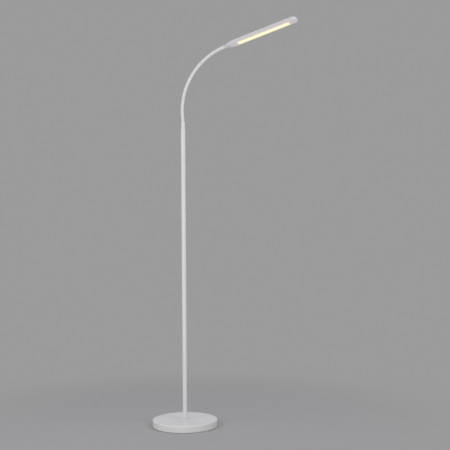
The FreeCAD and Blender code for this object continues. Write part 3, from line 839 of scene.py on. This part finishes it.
# %% The fifteen sleeves
def sleeve(name, low, high, gap_above=HALF_GAP, reach=BALL_REACH):
    """A ribbed tube from hinge to hinge, with a cup at its foot and a ball at its top."""
    foot, crown = low + HALF_GAP, high - gap_above
    rows = math.ceil((crown - foot) / RIB_PITCH * RIB_STEPS)
    skin = [(NECK_RADIUS, foot + (crown - foot) * row / rows) for row in range(rows + 1)]
    step = low + CUP_DEPTH
    hollow = [(NECK_BORE, step), (CUP_RADIUS, step), (CUP_RADIUS, foot)]
    knob = ball(high, gap_above, reach) + [(NECK_BORE, high + reach)]
    return turned(name, hollow + skin + knob, NECK_SIDES, ribbed)


TO_HEAD = {"gap_above": 1.1, "reach": 1.6}
for index in range(1, LINKS + 1):
    skin = sleeve("neck_sleeve_%02d" % index, (index - 1) * LINK_PITCH, index * LINK_PITCH,
                  **(TO_HEAD if index == LINKS else {}))
    fit(skin, neck_coat, "link_%02d" % index, "gooseneck_link_%02d" % index)

# %% [markdown]
# ## The lower ferrule
# The ferrule screws into the top of the pole. Its lip covers the end of the tube, and the neck
# stands in a shallow cup at its top, where the first ball is.

# %% The lower ferrule
LEAD_BORE = 2.2
THREAD_FOOT = POLE_TOP - 16
THREAD_RADIUS = 4.0
LIP_RADIUS = 7.6
FERRULE_RADIUS = 6.95
MOUTH_RADIUS = 5.95
MOUTH_TOP = FERRULE_TOP - 0.1
MOUTH_FLOOR = FERRULE_TOP - 2.6
ROOT_FOOT = -1.6
ferrule_body = turned("ferrule_body", eased([
    (LEAD_BORE, THREAD_FOOT, 0), (THREAD_RADIUS, THREAD_FOOT, 0.4), (THREAD_RADIUS, POLE_TOP, 0),
    (LIP_RADIUS, POLE_TOP, 0.3), (LIP_RADIUS, POLE_TOP + 1.6, 0.5),
    (FERRULE_RADIUS, POLE_TOP + 2.0, 0.2), (FERRULE_RADIUS, MOUTH_TOP, 0.9),
    (MOUTH_RADIUS, MOUTH_TOP, 0.3), (MOUTH_RADIUS, MOUTH_FLOOR, 0), (LEAD_BORE, MOUTH_FLOOR, 0)],
    5), ROUND_SIDES)
neck_root = turned("neck_root", [
    (NECK_BORE, ROOT_FOOT), (NECK_RADIUS, ROOT_FOOT), (NECK_RADIUS, -HALF_GAP),
    *ball(0, HALF_GAP, BALL_REACH), (NECK_BORE, BALL_REACH)], NECK_SIDES, round_neck)
lower_ferrule = join("ferrule_lower", [ferrule_body, neck_root])
fit(lower_ferrule, white_coat, "stand", "neck_ferrule_lower")

# %% [markdown]
# ## The upper ferrule
# At the head the neck stands in a second ferrule, a narrow nose and a wider sleeve. It follows
# the last of the neck's curve, so it is turned with the same way of placing points as the neck,
# and its end lies flat against the tail of the head.

# %% The upper ferrule
NOSE_BORE = 5.68
NOSE_RADIUS = 5.8
SHANK_RADIUS = 6.3
last = LINKS * LINK_PITCH
upper_ferrule = turned("ferrule_upper", eased([
    (LEAD_BORE, last + 2.6, 0), (NOSE_BORE, last + 2.6, 0), (NOSE_BORE, last + 0.1, 0.1),
    (NOSE_RADIUS, last + 0.1, 0.1), (NOSE_RADIUS + 0.05, last + 3.0, 0),
    (SHANK_RADIUS, last + 3.3, 0.25), (SHANK_RADIUS + 0.15, NECK_LENGTH, 0),
    (LEAD_BORE, NECK_LENGTH, 0)], 4), ROUND_SIDES, round_neck)
fit(upper_ferrule, white_coat, "head", "neck_ferrule_upper")

# %% [markdown]
# ## The head
# The head is a slim aluminium tray, open underneath. It grows out of a round tail to its full
# width with an eased flare, its long edges are rounded more on top than below, and its end is
# rounded in plan and rolls over on top like the toe of a shoe. A box with a bevel would miss the
# tail and the toe. Here the outline seen from above is stacked at several heights, and each
# point knows how far to step in as the edge rounds over.

# %% The outline of the head
head_place = (Matrix.Translation(neck_centre(NECK_LENGTH))
              @ Matrix.Rotation(-HEAD_PITCH, 4, "Y"))
END_RADIUS = 18.0
FLARE_CURVE = 1.6
TAIL_STEPS = 28
STRAIGHT_STATIONS = [90.0, 150.0, 210.0]
END_STEPS = 12


def flared(at_tail, ahead, x):
    """A measure that grows along the tail from one value to the one that the head has ahead."""
    return at_tail + (ahead - at_tail) * (1 - (1 - min(x / TAIL_LENGTH, 1)) ** FLARE_CURVE)


def head_side(inset=0.0, start=0.0):
    """Points (x, y, inwards x, inwards y) from the tail along a side and round half of the end."""
    tail = [start + (TAIL_LENGTH - start) * step / TAIL_STEPS for step in range(TAIL_STEPS + 1)]
    line = [(x, flared(TAIL_RADIUS, HEAD_HALF_WIDTH, x) - inset, 0.0, -1.0)
            for x in tail + STRAIGHT_STATIONS]
    reach = END_RADIUS - inset
    for step in range(END_STEPS + 1):
        turn = math.pi / 2 * step / END_STEPS
        line.append((HEAD_LENGTH - END_RADIUS + reach * math.sin(turn),
                     HEAD_HALF_WIDTH - END_RADIUS + reach * math.cos(turn),
                     -math.sin(turn), -math.cos(turn)))
    return line


# %% The tray, as a stack of outlines
EDGE_STEPS = 7
UNDER_ROLL = 1.0
SIDE_ROLL = 3.0
TOE_ROLL = 9.0
TAIL_END_SHARE = 0.93


def rolled(radius, height):
    """(inset, height) points round an edge, from the side to the top at a height."""
    turns = [math.pi / 2 * step / EDGE_STEPS for step in range(EDGE_STEPS + 1)]
    return [(radius * (1 - math.cos(turn)), height - radius * (1 - math.sin(turn)))
            for turn in turns]


def edge_profile(x, endwards):
    """(inset, height) points from the underside, round the edge, to the top."""
    height = flared(TAIL_RADIUS, HEAD_HALF_HEIGHT, x)
    under = rolled(flared(TAIL_RADIUS, UNDER_ROLL, x), height)
    roll = SIDE_ROLL + (TOE_ROLL - SIDE_ROLL) * endwards ** 2
    return [(inset, -level) for inset, level in under[::-1]] + rolled(
        flared(TAIL_RADIUS, roll, x), height)


def head_solid(name):
    """The whole head as one block, with the end of its tail drawn in a little."""
    side_line = head_side()
    levels = 2 * (EDGE_STEPS + 1)
    points, columns = [], []
    around = [(x, -y, ix, -iy) for x, y, ix, iy in side_line] + side_line[::-1]
    for x, y, in_x, in_y in around:
        columns.append([len(points) + level for level in range(levels)])
        ease = 1 if x else TAIL_END_SHARE
        for inset, height in edge_profile(x, in_x):
            points.append(Vector((x, (y + in_y * inset) * ease, height * ease))
                          + Vector((in_x * inset, 0, 0)))
    faces = [[column[level], after[level], after[level + 1], column[level + 1]]
             for column, after in zip(columns, columns[1:]) for level in range(levels - 1)]
    flare = TAIL_STEPS + 1
    for level in (0, levels - 1):
        for index in range(flare):
            faces.append([columns[index][level], columns[index + 1][level],
                          columns[-2 - index][level], columns[-1 - index][level]])
        faces.append([column[level] for column in columns[flare:len(columns) - flare]])
    faces.append(columns[0] + columns[-1][::-1])
    return piece(name, [head_place @ point for point in points], faces)


# %% Slabs and round pieces in the head's own frame
def slab(name, plan, low, high):
    """A slab of any plan in the head, between two heights."""
    points = [head_place @ Vector((x, y, level)) for level in (low, high) for x, y in plan]
    return piece(name, points, slab_faces(len(plan)))


def head_prism(name, inset, start, low, high, end=HEAD_LENGTH):
    """A slab with the plan of the head, for the hollow and the bottom cover."""
    half = [(min(x, end), y) for x, y, _, _ in head_side(inset, start)]
    return slab(name, [(x, -y) for x, y in half] + half[::-1], low, high)


def strip_slab(name, margin, corner, low, high):
    """A slab like the light strip, wider all round by a margin, with round corners."""
    start, end, half = STRIP_START - margin, STRIP_END + margin, STRIP_HALF_WIDTH + margin
    return slab(name, eased([(start, -half, corner), (end, -half, corner), (end, half, corner),
                             (start, half, corner)], 5), low, high)


def in_head(x, y):
    """Places turned work upright in the head, at a station along it."""
    return lambda radius, turn, height: head_place @ (
        upright(radius, turn, height) + Vector((x, y, 0)))


# %% The tray
HOLLOW_START = 20.0
SOLID_TOE = 20
KEY_STATION = 35
KEY_SIDES = 64
tray = head_solid("head_tray")
cut(tray, head_prism("seat", HEAD_WALL, HOLLOW_START, -12, 0),
    head_prism("hollow", HEAD_WALL, HOLLOW_START, -1, CEILING, HEAD_LENGTH - SOLID_TOE),
    drill([(6.1, 0), (6.1, 12)], KEY_SIDES, in_head(KEY_STATION, 0)))
fit(tray, head_coat, "head", "head_housing")

# %% [markdown]
# ### The underside
# A moulded cover closes the tray. It holds the opal strip in a window and is fixed by four small
# screws. The strip stands half a millimetre proud, with a soft edge.

# %% The bottom cover, its screws and the strip
COVER_GAP = 0.15
COVER_TOP = UNDER + 1.8
HEAD_SCREW_PLACES = [(31.0, -13.5), (31.0, 13.5), (267.0, -13.0), (267.0, 13.0)]
SCREW_HOLE = [(2.45, UNDER - 1), (2.45, UNDER + 1.25), (1.35, UNDER + 1.25), (1.35, UNDER + 3)]
under_cover = head_prism("under_cover", HEAD_WALL + COVER_GAP, HOLLOW_START + COVER_GAP,
                         UNDER, COVER_TOP)
cut(under_cover, strip_slab("window", COVER_GAP, 3.0, UNDER - 2, UNDER + 4),
    *[drill(SCREW_HOLE, NECK_SIDES, in_head(x, y)) for x, y in HEAD_SCREW_PLACES])
ease_edges(under_cover, 0.2)
fit(under_cover, cover_white, "head", "head_bottom_cover")

small_screws = join("head_screw_set", [
    screw(1.3, 2.4, 7.3, UNDER, lambda point, at=place: head_place @ (point + Vector((*at, 0))))
    for place in HEAD_SCREW_PLACES])
fit(small_screws, bright_zinc, "head", "head_screws")

strip = strip_slab("opal_strip", 0, 2.85, UNDER - 0.5, COVER_TOP)
ease_edges(strip, 0.35, 3)
flange = strip_slab("opal_flange", 1.95, 4.8, COVER_TOP, COVER_TOP + 1)
opal = join("opal_diffuser", [strip, flange])
fit(opal, lit_opal, "head", "diffuser")

# %% [markdown]
# ### The touch key
# A round key lies flush in the top of the head. It feels a finger and doesn't travel. Its face is
# slightly dished so that a finger finds it in the dark.

# %% The key
KEY_RADIUS = 6.0
FLANGE_RADIUS = 7.2
FLANGE_FOOT = CEILING - 0.8
DISH_DEPTH = 0.28
DISH_STEPS = 8
dish = [(KEY_RADIUS * step / DISH_STEPS,
         HEAD_HALF_HEIGHT - DISH_DEPTH * (1 - (step / DISH_STEPS) ** 2))
        for step in reversed(range(DISH_STEPS))]
key = turned("touch_button", [
    (0, FLANGE_FOOT), (FLANGE_RADIUS, FLANGE_FOOT), (FLANGE_RADIUS, CEILING), (KEY_RADIUS, CEILING),
    (KEY_RADIUS, HEAD_HALF_HEIGHT - 0.15), (KEY_RADIUS - 0.15, HEAD_HALF_HEIGHT)] + dish,
    KEY_SIDES, in_head(KEY_STATION, 0))
fit(key, key_gloss, "head", "touch_key")

# %% [markdown]
# ## What stays as measured
# The parts inside the base, the pole and the head keep their measured shapes. They only get
# their finishes.

# %% Finish the inner parts
inner_finishes = dict.fromkeys([
    "power_socket_nut", "stem_rod", "stem_washer", "stem_nut", "pole_foot_insert",
    "pole_joiners", "pole_top_insert", "neck_nut"], zinc_plate) | {
    "base_weight": cast_iron, "pole_lead": lead_sheath, "heat_spreader": rolled_sheet,
    "led_board": white_board, "led_chips": lit_phosphor, "touch_contact": spring_brass,
    "control_board": green_board}
for name, material in inner_finishes.items():
    for place in frame["nodes"][name].material_slots:
        place.material = material
shown = [name for name, part in frame["nodes"].items() if not part.hide_render]
print("kept as measured:", sorted(shown))
print("without a finish:", sorted(set(shown) - set(inner_finishes)))

# %% [markdown]
# ## The room
# A wide pale floor, and round it nothing but the same pale tone. The floor carries the lamp's
# soft shadow near the base. Farther out it fades into the tone of the world behind it, so that
# no horizon cuts through the pole. The fade depends on the place on the floor, not on the
# camera, so it holds from every side. What lights the lamp from below is a white sheet, which
# only the rays that carry soft light from the floor to the lamp meet. Next to the base the sheet
# is darker, a painted shade in place of the base's shadow on the floor. Without the sheet the
# underside of the head would be lost in the background.

# %% The floor
PALE = (0.33,) * 3
NEAR_TONE = (0.355,) * 3
SHEET_PAINTED_SHADE = (0.42, 0.415, 0.40)
SHEET = (0.76, 0.745, 0.72)
FLOOR_RADIUS = 14.0
FLOOR_SIDES = 128
floor_mesh = bpy.data.meshes.new("floor")
bench = bmesh.new()
bmesh.ops.create_circle(bench, cap_ends=True, segments=FLOOR_SIDES, radius=FLOOR_RADIUS)
bench.to_mesh(floor_mesh)
bench.free()
floor = placed_object("floor", floor_mesh)
floor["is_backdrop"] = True


def looked_at(tree):
    """One for what the camera sees, also by mirror or through glass, and zero for soft light."""
    path = node(tree, "ShaderNodeLightPath").outputs
    mirrored = maths(tree, "ADD", path["Is Camera Ray"], path["Is Glossy Ray"])
    return maths(tree, "ADD", mirrored, path["Is Transmission Ray"], use_clamp=True)


def shared(tree, share, first, second):
    """A shader between two others, by a share."""
    return node(tree, "ShaderNodeMixShader", {0: share, 1: first.outputs[0],
                                              2: second.outputs[0]})


floor_paint, tree, shader = new_material("pale_floor")
shader.inputs["Roughness"].default_value = 0.9
shader.inputs["Specular IOR Level"].default_value = 0.1
shader.inputs["Base Color"].default_value = (*NEAR_TONE, 1)
distance = node(tree, "ShaderNodeVectorMath", {0: own_place(tree)},
                operation="LENGTH").outputs["Value"]
fade = ramp(tree, distance, 0.3, 1.4, "SMOOTHERSTEP")
far_tone = node(tree, "ShaderNodeEmission", {"Color": (*PALE, 1), "Strength": 1.0})
# The sheet is darker next to the base: a painted shade for the base's shadow on the floor, faded
# out by 0.6 m.
clear = ramp(tree, distance, 0.15, 0.6, "SMOOTHSTEP")
sheet_with_painted_shade = mixed(tree, clear, (*SHEET_PAINTED_SHADE, 1), (*SHEET, 1))
sheet = node(tree, "ShaderNodeEmission", {"Color": sheet_with_painted_shade, "Strength": 1.0})
either = shared(tree, looked_at(tree), sheet, shared(tree, fade, shader, far_tone))
tree.links.new(either.outputs[0], tree.nodes["Material Output"].inputs["Surface"])
floor_paint.cycles.emission_sampling = "NONE"
floor.data.materials.append(floor_paint)

# %% [markdown]
# ## The light
# Two large soft lamps stand high on the left and the right, so that the slim pole is bright
# from edge to edge. A low one in front, a little to the left, is for the base, and a fourth
# hangs overhead and behind, so that soft shadows fall forwards. The world fills the rest evenly.
# White paint shows its form only through small steps in brightness, so no light is hard or
# strong. The lamps are hidden from the camera, which may look from any side.

# %% The lamps and the world
world = bpy.data.worlds.new("studio")
bpy.context.scene.world = world
world.use_nodes = True
tree = world.node_tree
air = tree.nodes["Background"]
air.inputs["Color"].default_value = (0.97, 0.95, 1.0, 1)
air.inputs["Strength"].default_value = 0.40
behind = node(tree, "ShaderNodeBackground", {"Color": (*PALE, 1), "Strength": 1.0})
either = shared(tree, looked_at(tree), air, behind)
tree.links.new(either.outputs[0], tree.nodes["World Output"].inputs["Surface"])
world.cycles.sampling_method = "NONE"


def soft_lamp(name, position, target, size, power, colour):
    """A round lamp that looks at a target and that the camera doesn't see."""
    lamp = placed_object(name, bpy.data.lights.new(name, "AREA"))
    lamp.data.shape = "DISK"
    lamp.data.size = size
    lamp.data.energy = power
    lamp.data.color = colour
    lamp.visible_camera = False
    lamp.location = position
    lamp.rotation_euler = (Vector(target) - Vector(position)).to_track_quat("-Z", "Y").to_euler()


COOL = (0.985, 0.97, 1.0)
WARM = (1.0, 0.985, 0.955)
soft_lamp("right_light", (2.0, -0.6, 2.0), (0, 0, 1.2), 1.2, 20, COOL)
soft_lamp("left_light", (-1.6, -1.6, 2.0), (0, 0, 1.2), 1.2, 20, COOL)
soft_lamp("front_light", (0.15, -1.9, 0.35), (0, 0, 0.05), 0.9, 10, WARM)
soft_lamp("top_light", (-0.2, 0.8, 3.0), (0.1, 0, 0.3), 1.6, 20, COOL)

# %% [markdown]
# ## Close
# The last line works out the box of the drawn lamp, which should be the size of the measured one.

# %% The box of the drawn lamp
low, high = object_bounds()
